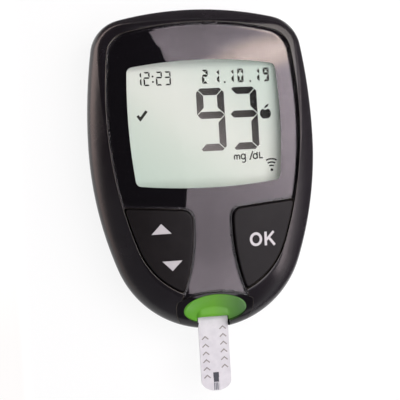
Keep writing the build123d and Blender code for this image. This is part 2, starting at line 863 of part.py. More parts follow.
with BuildPart() as lcd_holder:
    with BuildSketch(Plane.XY.offset(board_top)):
        with Locations((0, glass_y)):
            RectangleRounded(*holder_size, holder_wall)
    extrude(amount=rear_glass_z - board_top)
    with BuildSketch(Plane.XY.offset(rear_glass_z - polarizer - fit_gap)):
        with Locations((0, glass_y + ledge / 2)):
            Rectangle(
                glass_width - 2 * polarizer_margin + 2 * fit_gap,
                glass_length - ledge - 2 * polarizer_margin + 2 * fit_gap,
            )
    extrude(amount=thickness, mode=Mode.SUBTRACT)
    with BuildSketch(Plane.XY.offset(board_top + holder_floor)):
        with Locations((0, guide_y)):
            Rectangle(guide_size[0] + 2 * fit_gap, guide_size[1] + 2 * fit_gap)
    extrude(amount=thickness, mode=Mode.SUBTRACT)
    with BuildSketch(Plane.XY.offset(board_top)):
        with Locations((0, zebra_y)):
            Rectangle(glass_width - 2 * polarizer_margin, zebra + 2 * fit_gap)
        with Locations(led_spots):
            Rectangle(display_led[0] + 2 * fit_gap, display_led[1] + 2 * fit_gap)
    extrude(amount=thickness, mode=Mode.SUBTRACT)
write(lcd_holder, "lcd_holder")

with BuildPart() as zebra_strip:
    with BuildSketch(Plane.XY.offset(board_top)):
        with Locations((0, zebra_y)):
            Rectangle(glass_width - 2 * polarizer_margin - 2 * fit_gap, zebra)
    extrude(amount=front_glass_z - board_top)
write(zebra_strip, "zebra_strip")

with BuildPart() as display_leds:
    with Locations([(*spot, board_top + display_led[2] / 2) for spot in led_spots]):
        Box(*display_led)
write(display_leds, "display_leds")

# ---------------------------------------------------------------- board and what it carries
with BuildPart() as main_pcb:
    with BuildSketch(Plane.XY.offset(board_z)):
        with BuildLine():
            level_outline(board_z, wall + board_gap)
        make_face()
        with Locations(boss_spots):
            Circle(screw_r + 2 * fit_gap, mode=Mode.SUBTRACT)
    extrude(amount=board)
write(main_pcb, "main_pcb")

with BuildPart() as pcb_screws:
    with Locations([(*spot, board_z) for spot in boss_spots]):
        Cylinder(screw_r, screw_length, align=(Align.CENTER, Align.CENTER, Align.MIN))
        Cylinder(screw_head_r, screw_head, align=(Align.CENTER, Align.CENTER, Align.MAX))
    with Locations([(*spot, board_z - screw_head) for spot in boss_spots]):
        Box(screw_r, 2 * screw_r, screw_head, mode=Mode.SUBTRACT)
        Box(2 * screw_r, screw_r, screw_head, mode=Mode.SUBTRACT)
write(pcb_screws, "pcb_screws")

for name, (spot, size) in chips.items():
    with BuildPart() as chip:
        with Locations((*spot, board_z - size[2] / 2)):
            Box(*size)
        chamfer(chip.faces().sort_by(Axis.Z)[0].edges(), chip_edge)
    write(chip, name)

with BuildPart() as buzzer:
    with Locations((*buzzer_spot, board_z)):
        Cylinder(buzzer_r, buzzer_height, align=(Align.CENTER, Align.CENTER, Align.MAX))
    with Locations((*buzzer_spot, board_z - buzzer_height)):
        Cylinder(buzzer_r / 6, buzzer_height, mode=Mode.SUBTRACT)
write(buzzer, "buzzer")

with BuildPart() as port_leds:
    with Locations([(side * port_led_x, port_y, board_top + port_led[2] / 2) for side in (-1, 1)]):
        Box(*port_led)
write(port_leds, "port_leds")

# ---------------------------------------------------------------- back shell and battery bay
cell_spots = {"left": (-cell_pitch / 2, cells_y), "right": (cell_pitch / 2, cells_y)}
spring_window = (leaf_width + 1.0, leaf_reach + 2.0)
clip_window = (leaf_width + 1.0, 4 * leaf + 2 * fit_gap)

with BuildPart() as rear_housing:
    add(blank.part)
    split(bisect_by=Plane.XY.offset(widest_z), keep=Keep.BOTTOM)
    add(hollow.part, mode=Mode.SUBTRACT)
    with BuildSketch(Plane.XY.offset(widest_z)):
        with BuildLine():
            level_outline(widest_z, wall - lap_sheet)
        make_face()
        with BuildLine():
            level_outline(widest_z, wall)
        make_face(mode=Mode.SUBTRACT)
    extrude(amount=lap)
    with BuildSketch():
        with Locations((0, door_y - door_lip - bay_wall)):
            Rectangle(
                2 * (door_half_width + tongue_reach + bay_wall), length, align=(Align.CENTER, Align.MIN)
            )
    extrude(amount=door + bay_wall)
    with BuildSketch():
        with Locations((0, cells_y)):
            RectangleRounded(
                2 * (bay_half_width + bay_wall), bay_length + 2 * bay_wall, cell_corner_r + bay_wall
            )
    extrude(amount=bay_roof + bay_roof_sheet)
    add(blank.part, mode=Mode.INTERSECT)
    with BuildSketch():
        with Locations((0, cells_y)):
            RectangleRounded(2 * bay_half_width, bay_length, cell_corner_r)
    extrude(amount=bay_roof, mode=Mode.SUBTRACT)
    with BuildSketch():
        with Locations((0, door_y - door_gap)):
            Rectangle(2 * (door_half_width + door_gap), length, align=(Align.CENTER, Align.MIN))
    extrude(amount=door + door_gap, mode=Mode.SUBTRACT)
    with BuildSketch(Plane.XY.offset(door - tongue - door_gap)):
        with Locations((0, door_y - door_lip - door_gap)):
            Rectangle(
                2 * (door_half_width + tongue_reach + door_gap), length, align=(Align.CENTER, Align.MIN)
            )
    extrude(amount=tongue + 2 * door_gap, mode=Mode.SUBTRACT)
    with BuildSketch(Plane.XY.offset(bay_roof - fit_gap)):
        for x, y in cell_spots.values():
            with Locations((x, y + leaf_reach / 2)):
                Rectangle(*spring_window)
            with Locations((x, bay_foot_y + clip_window[1] / 2)):
                Rectangle(*clip_window)
    extrude(amount=bay_roof_sheet + 2 * fit_gap, mode=Mode.SUBTRACT)
    with BuildSketch(Plane.XY.offset(slot_floor)):
        add(bezel_face(fit_gap))
    extrude(amount=thickness, mode=Mode.SUBTRACT)
write(rear_housing, "rear_housing")

with BuildPart() as battery_door:
    with BuildSketch():
        with Locations((0, door_y)):
            Rectangle(2 * door_half_width, length, align=(Align.CENTER, Align.MIN))
    extrude(amount=door)
    with BuildSketch(Plane.XY.offset(door - tongue)):
        with Locations((0, door_y - door_lip)):
            Rectangle(
                2 * (door_half_width + tongue_reach), length, align=(Align.CENTER, Align.MIN)
            )
    extrude(amount=tongue)
    add(blank.part, mode=Mode.INTERSECT)
    with Locations((0, grip_y, 0)):
        with GridLocations(1, grip_pitch, 1, grip_count):
            Cylinder(grip_r, grip_length, rotation=(0, 90, 0), mode=Mode.SUBTRACT)
write(battery_door, "battery_door")

for side, spot in cell_spots.items():
    with BuildPart() as cell:
        with Locations((*spot, cell_z)):
            Cylinder(cell_r, cell_height - cell_step, align=(Align.CENTER, Align.CENTER, Align.MIN))
        chamfer(cell.faces().sort_by(Axis.Z)[0].edges(), cell_step / 2)
        with Locations((*spot, cell_z)):
            Cylinder(cell_cap_r, cell_height, align=(Align.CENTER, Align.CENTER, Align.MIN))
    write(cell, f"coin_cell_{side}")

leaf_z = board_z - leaf / 2
with BuildPart() as cell_springs:
    for x, y in cell_spots.values():
        with BuildSketch(Plane.YZ.offset(x)):
            with BuildLine():
                FilletPolyline(
                    (y - leaf_reach / 2, leaf_z),
                    (y + leaf_width / 4, leaf_z),
                    (y + leaf_reach - leaf_width / 4, cell_z + cell_height + leaf / 2 + seat_gap),
                    (y + leaf_reach, cell_z + cell_height + leaf + seat_gap),
                    radius=leaf,
                )
            trace(line_width=leaf)
        extrude(amount=leaf_width / 2, both=True)
write(cell_springs, "cell_springs")

with BuildPart() as cell_clips:
    for x, y in cell_spots.values():
        clip_y = y - cell_r - leaf / 2 - seat_gap
        with BuildSketch(Plane.YZ.offset(x)):
            with BuildLine():
                FilletPolyline(
                    (clip_y - leaf_width, leaf_z),
                    (clip_y, leaf_z),
                    (clip_y, cell_z + cell_height / 4),
                    radius=leaf,
                )
            trace(line_width=leaf)
        extrude(amount=leaf_width / 2, both=True)
write(cell_clips, "cell_clips")
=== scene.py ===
import bpy
import numpy as np
from mathutils import Matrix, Vector


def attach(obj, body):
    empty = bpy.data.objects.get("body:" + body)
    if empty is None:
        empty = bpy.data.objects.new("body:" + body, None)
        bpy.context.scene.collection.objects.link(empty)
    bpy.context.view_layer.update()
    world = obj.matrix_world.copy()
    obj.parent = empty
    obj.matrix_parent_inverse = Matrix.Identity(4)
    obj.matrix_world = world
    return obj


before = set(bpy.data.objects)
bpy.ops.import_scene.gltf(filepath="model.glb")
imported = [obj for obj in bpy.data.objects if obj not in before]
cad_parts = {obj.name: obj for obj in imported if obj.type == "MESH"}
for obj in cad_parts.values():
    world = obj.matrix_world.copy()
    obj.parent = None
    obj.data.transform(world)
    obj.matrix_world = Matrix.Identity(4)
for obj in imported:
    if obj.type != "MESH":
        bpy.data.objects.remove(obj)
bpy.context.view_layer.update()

MM = 0.001
EDGE_SAMPLES = 8  # how finely a broken edge is worked out
FLAT_LEAN, EDGE_LEAN = 0.99, 0.88  # cosines of how far a face and a full edge lean
NOISE_LOW, NOISE_HIGH = 0.3, 0.7  # nearly all of a noise lies between these


# ---------------------------------------------------------------- nodes and colours
def linear(hex_colour):
    """An sRGB hex colour as linear values, by the sRGB curve."""
    channels = np.array([int(hex_colour[n : n + 2], 16) for n in (1, 3, 5)]) / 255
    low = channels / 12.92
    high = ((channels + 0.055) / 1.055) ** 2.4
    return (*np.where(channels <= 0.04045, low, high), 1.0)


def add_node(tree, kind, links=None, values=None, **settings):
    """Add one node, set its properties and its inputs, and link inputs from other sockets."""
    node = tree.nodes.new(kind)
    for name, value in settings.items():
        setattr(node, name, value)
    for name, value in (values or {}).items():
        node.inputs[name].default_value = value
    for name, socket in (links or {}).items():
        tree.links.new(socket, node.inputs[name])
    return node


def new_material(name):
    """An empty node material: the material and its tree."""
    material = bpy.data.materials.new(name)
    material.use_nodes = True
    material.node_tree.nodes.clear()
    return material, material.node_tree


def millimetres(tree):
    """The place on the object, in millimetres."""
    place = add_node(tree, "ShaderNodeTexCoord").outputs["Object"]
    return add_node(
        tree, "ShaderNodeMapping", {"Vector": place}, {"Scale": (1 / MM, 1 / MM, 1 / MM)}
    ).outputs["Vector"]


def drifting(tree, place, size, low, high):
    """A value that drifts between two limits over a size in millimetres."""
    cloud = add_node(
        tree, "ShaderNodeTexNoise", {"Vector": place}, {"Scale": 1 / size, "Detail": 3.0}
    )
    return add_node(
        tree,
        "ShaderNodeMapRange",
        {"Value": cloud.outputs["Fac"]},
        {"From Min": NOISE_LOW, "From Max": NOISE_HIGH, "To Min": low, "To Max": high},
    ).outputs["Result"]


def edge_share(tree, broken):
    """How much of an edge a place is: 1 where the broken normal leans far from the flat one."""
    flat = add_node(tree, "ShaderNodeNewGeometry").outputs["Normal"]
    lean = add_node(
        tree, "ShaderNodeVectorMath", {0: broken, 1: flat}, operation="DOT_PRODUCT"
    ).outputs["Value"]
    return add_node(
        tree,
        "ShaderNodeMapRange",
        {"Value": lean},
        {"From Min": FLAT_LEAN, "From Max": EDGE_LEAN, "To Min": 0.0, "To Max": 1.0},
    ).outputs["Result"]


def opaque(
    name,
    colours,
    roughness,
    ior=1.5,
    specular=0.5,
    drift=None,
    grain=None,
    edge=None,
    painted_edge_highlight=None,
    more=None,
):
    """A moulded, printed, plated or woven material that lets no light through.

    colours: the darkest and the lightest hex of its slow drift, or a single one
    drift: size in mm over which roughness and colour drift, and how much roughness moves
    grain: size and depth in mm of the tool's texture
    edge: radius in mm to which sharp edges are broken
    painted_edge_highlight: hex of a highlight painted on the sharp edges, paler than the body, so
    that they catch the light
    more: further values for the shader
    """
    material, tree = new_material(name)
    values = {"Roughness": roughness, "IOR": ior, "Specular IOR Level": specular, **(more or {})}
    links = {}
    place = millimetres(tree)
    if drift:
        size, spread = drift
        links["Roughness"] = drifting(tree, place, size, roughness - spread, roughness + spread)
    if isinstance(colours, tuple):
        cloud = drifting(tree, place, drift[0] / 2, 0, 1)
        ramp = add_node(tree, "ShaderNodeValToRGB", {"Fac": cloud})
        for stop, colour in zip(ramp.color_ramp.elements, colours):
            stop.color = linear(colour)
        links["Base Color"] = ramp.outputs["Color"]
    else:
        values["Base Color"] = linear(colours)
    normal = {}
    if edge:
        broken = add_node(
            tree, "ShaderNodeBevel", values={"Radius": edge * MM}, samples=EDGE_SAMPLES
        )
        normal = {"Normal": broken.outputs["Normal"]}
        links["Normal"] = broken.outputs["Normal"]
    # Sharp edges take a paler colour mixed in: a painted highlight.
    if painted_edge_highlight:
        # Sockets 6 and 7 are the two colours of a colour mix, and output 2 its result.
        edge_highlight_mix = add_node(
            tree,
            "ShaderNodeMix",
            {0: edge_share(tree, broken.outputs["Normal"]), 6: links["Base Color"]},
            {7: linear(painted_edge_highlight)},
            data_type="RGBA",
        )
        links["Base Color"] = edge_highlight_mix.outputs[2]
    if grain:
        size, depth = grain
        texture = add_node(
            tree, "ShaderNodeTexNoise", {"Vector": place}, {"Scale": 1 / size, "Detail": 2.0}
        )
        bump = add_node(
            tree,
            "ShaderNodeBump",
            {"Height": texture.outputs["Fac"], **normal},
            {"Distance": depth * MM, "Strength": 1.0},
        )
        links["Normal"] = bump.outputs["Normal"]
    shader = add_node(tree, "ShaderNodeBsdfPrincipled", links, values)
    add_node(tree, "ShaderNodeOutputMaterial", {"Surface": shader.outputs["BSDF"]})
    return material


def dress(material, *nodes):
    """Give CAD nodes a material in every slot."""
    for node in nodes:
        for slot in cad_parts[node].material_slots:
            slot.material = material


# ---------------------------------------------------------------- new pieces
def piece(name, vertices, faces, material, body=None):
    """A new object from points in millimetres and faces; it rides on a body, or is a stage."""
    mesh = bpy.data.meshes.new(name)
    mesh.from_pydata((np.asarray(vertices) * MM).tolist(), [], np.asarray(faces).tolist())
    mesh.materials.append(material)
    mesh.update()
    made = bpy.data.objects.new(name, mesh)
    bpy.context.scene.collection.objects.link(made)
    if body:
        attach(made, body)
    return made


def rectangle(left, right, foot, head, height):
    """The corners of a level rectangle, in millimetres."""
    corners = [(left, foot), (right, foot), (right, head), (left, head)]
    return [(x, y, height) for x, y in corners]


# ---------------------------------------------------------------- camera
# The meter lies almost square to the camera, which stands a little to its left.
TURNS = ((3.43, "Z"), (-0.6, "X"), (9.4, "Y"))  # degrees about each axis
CAMERA_PLACE = (0.4, -7.6, 249.6)  # mm to the right, up and back, along the camera's own axes
SENSOR_WIDTH = 36  # mm
FOCAL_SHARE = 979.6 / 400  # the focal length as a share of the sensor's width
about_z, about_x, about_y = (Matrix.Rotation(np.radians(turn), 3, axis) for turn, axis in TURNS)
camera_turn = (about_z @ about_x @ about_y).transposed()
camera_data = bpy.data.cameras.new("camera")
camera_data.sensor_width = SENSOR_WIDTH
camera_data.lens = FOCAL_SHARE * SENSOR_WIDTH
camera_data.clip_start = 0.01
camera = bpy.data.objects.new("camera", camera_data)
camera.matrix_world = (
    Matrix.Translation(camera_turn @ Vector(CAMERA_PLACE) * MM) @ camera_turn.to_4x4()
)
bpy.context.scene.collection.objects.link(camera)
bpy.context.scene.camera = camera
bpy.context.scene.view_settings.view_transform = "Standard"

# ---------------------------------------------------------------- floor and light
# White card, matt: it shows nearly white wherever it is seen, with a faint shadow left in it.
CARD_REACH = 20000  # mm to each side, past what any view shows
PLAIN_WHITE = 0.9  # share of what the eye sees of the card that takes no shadow
card, tree = new_material("white_card")
card_lit = add_node(
    tree, "ShaderNodeBsdfPrincipled", values={"Base Color": linear("#f4f4f4"), "Roughness": 0.9}
)
card_white = add_node(
    tree, "ShaderNodeEmission", values={"Color": linear("#ffffff"), "Strength": 1.0}
)
ray = add_node(tree, "ShaderNodeLightPath")
seen = ray.outputs["Is Camera Ray"]
for way in ("Is Glossy Ray", "Is Transmission Ray"):
    either = add_node(tree, "ShaderNodeMath", {0: seen, 1: ray.outputs[way]}, operation="MAXIMUM")
    seen = either.outputs["Value"]
share = add_node(tree, "ShaderNodeMath", {0: seen}, {1: PLAIN_WHITE}, operation="MULTIPLY")
card_mix = add_node(
    tree,
    "ShaderNodeMixShader",
    {
        "Fac": share.outputs["Value"],
        1: card_lit.outputs["BSDF"],
        2: card_white.outputs["Emission"],
    },
)
add_node(tree, "ShaderNodeOutputMaterial", {"Surface": card_mix.outputs["Shader"]})
piece("floor", rectangle(-CARD_REACH, CARD_REACH, -CARD_REACH, CARD_REACH, 0), [range(4)], card)


def soft_panel(name, corners, glow_values=None):
    """A flat lamp behind white diffusing cloth, which hides the bulbs and glows softly.

    corners are in millimetres, and glow_values are its colour and strength where they are the
    same all over. Returns the cloth's tree and its glow, for what isn't.
    """
    cloth, tree = new_material(name + "_cloth")
    glow = add_node(tree, "ShaderNodeEmission", values=glow_values)
    add_node(tree, "ShaderNodeOutputMaterial", {"Surface": glow.outputs["Emission"]})
    lamp = piece(name, corners, [range(len(corners))], cloth)
    lamp.visible_camera = False
    return tree, glow


# The key lamp hangs over the right of the meter; its left edge shows as a bend in the lens.
KEY_Z, KEY_RIGHT, KEY_FOOT, KEY_HEAD = 500, 780, -300, 420
key_edge = [(-122, 323), (-52, 237), (-3, -28), (-12, -60), (-12, KEY_FOOT)]
key_outline = key_edge + [(KEY_RIGHT, KEY_FOOT), (KEY_RIGHT, KEY_HEAD), (-122, KEY_HEAD)]
tree, key_glow = soft_panel("key_lamp", [(x, y, KEY_Z) for x, y in key_outline])
# Its cloth is brighter to the right, keeps a varying share of that light from foot to head,
# and has a warm streak at the head, which fades out over 560 mm along it and 60 mm across.
place = millimetres(tree)
apart = add_node(tree, "ShaderNodeSeparateXYZ", {"Vector": place})
rightward = add_node(
    tree,
    "ShaderNodeMapRange",
    {"Value": apart.outputs["X"]},
    {"From Min": 80, "From Max": 620, "To Min": 4.1, "To Max": 7.4},
)
headward = add_node(
    tree,
    "ShaderNodeMapRange",
    {"Value": apart.outputs["Y"]},
    {"From Min": KEY_FOOT, "From Max": KEY_HEAD},
)
fall = add_node(tree, "ShaderNodeValToRGB", {"Fac": headward.outputs["Result"]})
fall.color_ramp.interpolation = "EASE"
stops = fall.color_ramp.elements
stops[0].color, stops[1].color = (1, 1, 1, 1), (0.3, 0.3, 0.3, 1)
for y, kept in ((-215, 0.85), (-150, 0.67), (0, 0.76), (200, 0.85), (270, 0.85), (335, 0.62)):
    stops.new((y - KEY_FOOT) / (KEY_HEAD - KEY_FOOT)).color = (kept, kept, kept, 1)
plain = add_node(
    tree,
    "ShaderNodeMath",
    {0: rightward.outputs["Result"], 1: fall.outputs["Color"]},
    operation="MULTIPLY",
)
streak_place = add_node(
    tree,
    "ShaderNodeMapping",
    {"Vector": place},
    {
        "Location": (450, 298, KEY_Z),
        "Rotation": (0, 0, np.radians(16)),
        "Scale": (560, 60, 400),
    },
    vector_type="TEXTURE",
)
spot = add_node(
    tree,
    "ShaderNodeTexGradient",
    {"Vector": streak_place.outputs["Vector"]},
    gradient_type="SPHERICAL",
)
streak = add_node(
    tree,
    "ShaderNodeMapRange",
    {"Value": spot.outputs["Fac"]},
    {"From Max": 0.75, "To Max": 7.0},
)
with_streak = add_node(
    tree,
    "ShaderNodeMath",
    {0: plain.outputs["Value"], 1: streak.outputs["Result"]},
    operation="ADD",
)
tree.links.new(with_streak.outputs["Value"], key_glow.inputs["Strength"])
warmth = add_node(tree, "ShaderNodeValToRGB", {"Fac": spot.outputs["Fac"]})
warmth.color_ramp.elements[0].color = linear("#f6f1f7")
warmth.color_ramp.elements[1].position = 0.45
warmth.color_ramp.elements[1].color = linear("#f6ebe0")
tree.links.new(warmth.outputs["Color"], key_glow.inputs["Color"])

# A low card at the left draws the bright line down that flank, brighter towards the head.
ON_FLOOR = 1  # mm above it
tree, low_glow = soft_panel(
    "low_card", rectangle(-170, -46, -70, 330, ON_FLOOR), {"Color": linear("#ffe6e0")}
)
apart = add_node(tree, "ShaderNodeSeparateXYZ", {"Vector": millimetres(tree)})
brighter = add_node(
    tree,
    "ShaderNodeMapRange",
    {"Value": apart.outputs["Y"]},
    {"From Min": -40, "From Max": 80, "To Min": 1.1, "To Max": 5.0},
)
tree.links.new(brighter.outputs["Result"], low_glow.inputs["Strength"])

# A narrow lamp low at the right draws the soft line along the rim's crest.
CREST_X = 420
crest_outline = [(-280, 60), (170, 90), (170, 130), (-280, 150)]
soft_panel(
    "crest_lamp",
    [(CREST_X, y, z) for y, z in crest_outline],
    {"Color": linear("#fff0f4"), "Strength": 5.0},
)

# A dim cloth at the left and foot lifts the rim there.
foot_outline = [(-520, -60, 0), (-520, -60, 330), (-60, -520, 330), (-60, -520, 0)]
soft_panel("foot_cloth", foot_outline, {"Color": linear("#f2eef6"), "Strength": 0.28})

# Dark grey felt, quite matt: flags of it at the head and at the right lie where those flanks
# mirror the floor, and keep them dark. Only reflections show them.
felt = opaque("dark_grey_felt", "#565457", roughness=0.9, ior=1.4, specular=0.0)
for name, outline in (
    ("head_flag", rectangle(-44, 500, 42, 700, ON_FLOOR)),
    ("right_flag", rectangle(32, 700, -160, 42, ON_FLOOR)),
):
    flag = piece(name, outline, [range(4)], felt)
    flag.visible_camera = flag.visible_diffuse = flag.visible_shadow = False
    flag.visible_transmission = False

# The room: dark cloth all round, over a low white skirting that carries on from the floor.
world = bpy.data.worlds.new("room")
bpy.context.scene.world = world
world.use_nodes = True
tree = world.node_tree
aim = add_node(tree, "ShaderNodeTexCoord").outputs["Generated"]
rise = add_node(tree, "ShaderNodeSeparateXYZ", {"Vector": aim}).outputs["Z"]
walls = add_node(tree, "ShaderNodeValToRGB", {"Fac": rise})
walls.color_ramp.elements[0].position = 0.04
walls.color_ramp.elements[0].color = linear("#ffffff")
walls.color_ramp.elements[1].position = 0.6
walls.color_ramp.elements[1].color = linear("#343234")
walls.color_ramp.elements.new(0.05).color = linear("#383638")
tree.links.new(walls.outputs["Color"], tree.nodes["Background"].inputs["Color"])

# ---------------------------------------------------------------- materials of the case
# ABS, moulded against a fine spark-eroded tool: satin black, with a soft sheen on its flanks and a
# painted highlight along its edges, paler than the body. Its grain is drawn coarser than the real
# tenth of a millimetre, to show.
satin_abs = opaque(
    "satin_black_abs",
    ("#151216", "#1b181c"),
    roughness=0.26,
    ior=1.53,
    specular=0.42,
    drift=(9, 0.03),
    grain=(0.25, 0.002),
    edge=0.16,
    # the paler edge colour is a painted highlight
    painted_edge_highlight="#5f5950",
)
# The keys' ABS comes from a coarser tool, which scatters nearly all of the sheen.
key_abs = opaque(
    "matt_black_key_abs",
    ("#131011", "#191617"),
    roughness=0.48,
    specular=0.16,
    drift=(6, 0.04),
    grain=(0.2, 0.004),
    edge=0.12,
)
# The ring round the port is ABS from a polished tool, so it shows small sharp glints.
gloss_abs = opaque(
    "polished_black_abs",
    "#121013",
    roughness=0.14,
    ior=1.53,
    specular=0.25,
    drift=(6, 0.03),
    edge=0.15,
)
# Black ink on the back of the lens: the mirror image of the room lies on it, with the
# slight purple of the lens's antireflective coat.
lens_ink = opaque(
    "black_ink_under_polished_lens",
    "#0e0d10",
    roughness=0.03,
    ior=1.58,
    more={"Specular Tint": linear("#fff4f9")},
)
# Foam tape under the lens: a dead black line where it shows.
black_tape = opaque("black_foam_tape", "#08080a", roughness=0.9, ior=1.4, specular=0.1)
# Polyester film of the test strip: white, a little shiny.
strip_film = opaque(
    "white_polyester_film",
    ("#c8c7cb", "#d3d2d5"),
    roughness=0.4,
    specular=0.25,
    drift=(3, 0.05),
)
# Inks printed on the strip: grey for its marks, and a colder, darker carbon for its channel.
strip_ink = opaque("grey_strip_ink", "#8f8a88", roughness=0.6, specular=0.2)
channel_ink = opaque("blue_grey_carbon_ink", "#5b6069", roughness=0.6, specular=0.2)
# Reagent dried on the strip: nearly black, with the slight gloss of a glaze.
reagent = opaque("dark_dried_reagent", "#272a35", roughness=0.35, specular=0.4)
# White ink, pad printed on the keys in so thin a coat that it looks pale grey.
key_ink = opaque("white_pad_printed_ink", "#c3c1c2", roughness=0.5, specular=0.2)

# Front polarizer over a twisted nematic cell: pale grey-green and matt, with a painted sheen, a
# paler band running diagonally across it. It also glows faintly in the same colours: painted light
# standing in for the backlight, which lifts the shade that the print casts near the window's
# edges.
polarizer, tree = new_material("matt_grey_green_polarizer")
turned = add_node(
    tree, "ShaderNodeMapping", {"Vector": millimetres(tree)}, {"Rotation": (0, 0, np.radians(38))}
)
across = add_node(tree, "ShaderNodeSeparateXYZ", {"Vector": turned.outputs["Vector"]})
band = add_node(
    tree,
    "ShaderNodeMapRange",
    {"Value": across.outputs["Y"]},
    {"From Min": -16.0, "From Max": 34.0},
)
# The paler middle of this ramp is a painted sheen, and the same colours feed the painted glow.
colour_and_painted_sheen = add_node(tree, "ShaderNodeValToRGB", {"Fac": band.outputs["Result"]})
colour_and_painted_sheen.color_ramp.interpolation = "B_SPLINE"
stops = colour_and_painted_sheen.color_ramp.elements
stops[0].color = linear("#a1b2a6")
stops[1].color = linear("#a2b2a7")
for position, colour in ((0.3, "#adb8ad"), (0.5, "#c0c3bb"), (0.72, "#adb7ae")):
    stops.new(position).color = linear(colour)
film = add_node(
    tree,
    "ShaderNodeBsdfPrincipled",
    {"Base Color": colour_and_painted_sheen.outputs["Color"], "Emission Color": colour_and_painted_sheen.outputs["Color"]},
    {"Roughness": 0.45, "IOR": 1.49, "Specular IOR Level": 0.08, "Emission Strength": 0.3},
)
add_node(tree, "ShaderNodeOutputMaterial", {"Surface": film.outputs["BSDF"]})

# Clear acrylic, polished, with an antireflective hard coat that leaves only a faint gloss. The
# coat is why its index is far below the bare plastic's. Light passes straight through, so the
# lamps reach the display under it.
acrylic, tree = new_material("clear_coated_acrylic")
clear = add_node(
    tree,
    "ShaderNodeBsdfPrincipled",
    values={
        "Base Color": linear("#ffffff"),
        "Roughness": 0.02,
        "IOR": 1.08,
        "Transmission Weight": 1.0,
    },
)
ray = add_node(tree, "ShaderNodeLightPath")
lets_light_by = add_node(
    tree,
    "ShaderNodeMath",
    {0: ray.outputs["Is Shadow Ray"], 1: ray.outputs["Is Diffuse Ray"]},
    operation="MAXIMUM",
)
open_air = add_node(tree, "ShaderNodeBsdfTransparent")
clear_mix = add_node(
    tree,
    "ShaderNodeMixShader",
    {"Fac": lets_light_by.outputs["Value"], 1: clear.outputs["BSDF"], 2: open_air.outputs["BSDF"]},
)
add_node(tree, "ShaderNodeOutputMaterial", {"Surface": clear_mix.outputs["Shader"]})

# Clear green polycarbonate over two small lamps. Their light is painted in: it glows in its own
# colours, a painted glow that is bright at the left and greyer at the right.
GLOW_REACH = 7.6  # mm to each side, over which the colour and its painted glow change
lit_green, tree = new_material("lit_green_polycarbonate")
side = add_node(tree, "ShaderNodeSeparateXYZ", {"Vector": millimetres(tree)})
sideways = add_node(
    tree,
    "ShaderNodeMapRange",
    {"Value": side.outputs["X"]},
    {"From Min": -GLOW_REACH, "From Max": GLOW_REACH},
)
# Painted light: this ramp gives both the colour and the glow, bright at the left and greyer at the
# right.
colour_and_painted_glow = add_node(tree, "ShaderNodeValToRGB", {"Fac": sideways.outputs["Result"]})
colour_and_painted_glow.color_ramp.elements[0].color = linear("#437427")
colour_and_painted_glow.color_ramp.elements[1].color = linear("#415e3a")
colour_and_painted_glow.color_ramp.elements.new(0.5).color = linear("#4a7823")
green_edges = add_node(tree, "ShaderNodeBevel", values={"Radius": 0.6 * MM}, samples=EDGE_SAMPLES)
green = add_node(
    tree,
    "ShaderNodeBsdfPrincipled",
    {
        "Base Color": colour_and_painted_glow.outputs["Color"],
        "Emission Color": colour_and_painted_glow.outputs["Color"],
        "Normal": green_edges.outputs["Normal"],
    },
    {"Roughness": 0.22, "IOR": 1.58, "Specular IOR Level": 0.12, "Emission Strength": 0.95},
)
add_node(tree, "ShaderNodeOutputMaterial", {"Surface": green.outputs["BSDF"]})

# ---------------------------------------------------------------- materials inside
METAL = {"Metallic": 1.0}
# Stainless steel, rolled and stamped: bright grey, with a soft uneven gloss.
spring_steel = opaque(
    "stainless_spring_steel", "#b9b7b4", roughness=0.28, drift=(1, 0.05), more=METAL
)
# Bronze, stamped and gold plated: warm yellow and smooth.
gold_plate = opaque("gold_plated_bronze", "#d9b25c", roughness=0.25, drift=(1, 0.05), more=METAL)
# Steel, drawn into cans and nickel plated: a paler grey, faintly clouded.
nickel_can = opaque("nickel_plated_steel", "#c9c8c4", roughness=0.3, drift=(3, 0.06), more=METAL)
# Solder mask, a lacquer printed over the board: deep green, half glossy.
solder_mask = opaque("green_solder_mask", ("#0d4326", "#11502e"), roughness=0.35, drift=(5, 0.05))
# Epoxy moulded round the chips: dull black with a fine grain.
moulded_epoxy = opaque(
    "black_moulded_epoxy", "#151516", roughness=0.55, ior=1.55, grain=(0.1, 0.004)
)
# Polycarbonate moulded full of white pigment: matt, and bright because it keeps light in.
white_pc = opaque(
    "white_reflective_polycarbonate", "#e9e8e4", roughness=0.5, ior=1.58, drift=(5, 0.05)
)
# Acrylic moulded with a frosted back: milky, with a breath of green.
guide_acrylic = opaque("diffusing_acrylic", "#e4ecdf", roughness=0.3, ior=1.49, drift=(5, 0.05))
# Silicone rubber, cast in thin layers: a dull brick red.
silicone = opaque("layered_silicone_rubber", "#8f4a44", roughness=0.6, ior=1.42, drift=(2, 0.05))
# Nylon moulded with glass fibre: black, and slightly rough where the fibres come up.
filled_nylon = opaque("glass_filled_nylon", "#161617", roughness=0.5, ior=1.53, grain=(0.2, 0.005))
# Glass, polished and coated with indium tin oxide: smooth, with a grey-green cast.
cell_glass = opaque("indium_coated_glass", "#a9b4ac", roughness=0.08, ior=1.52)

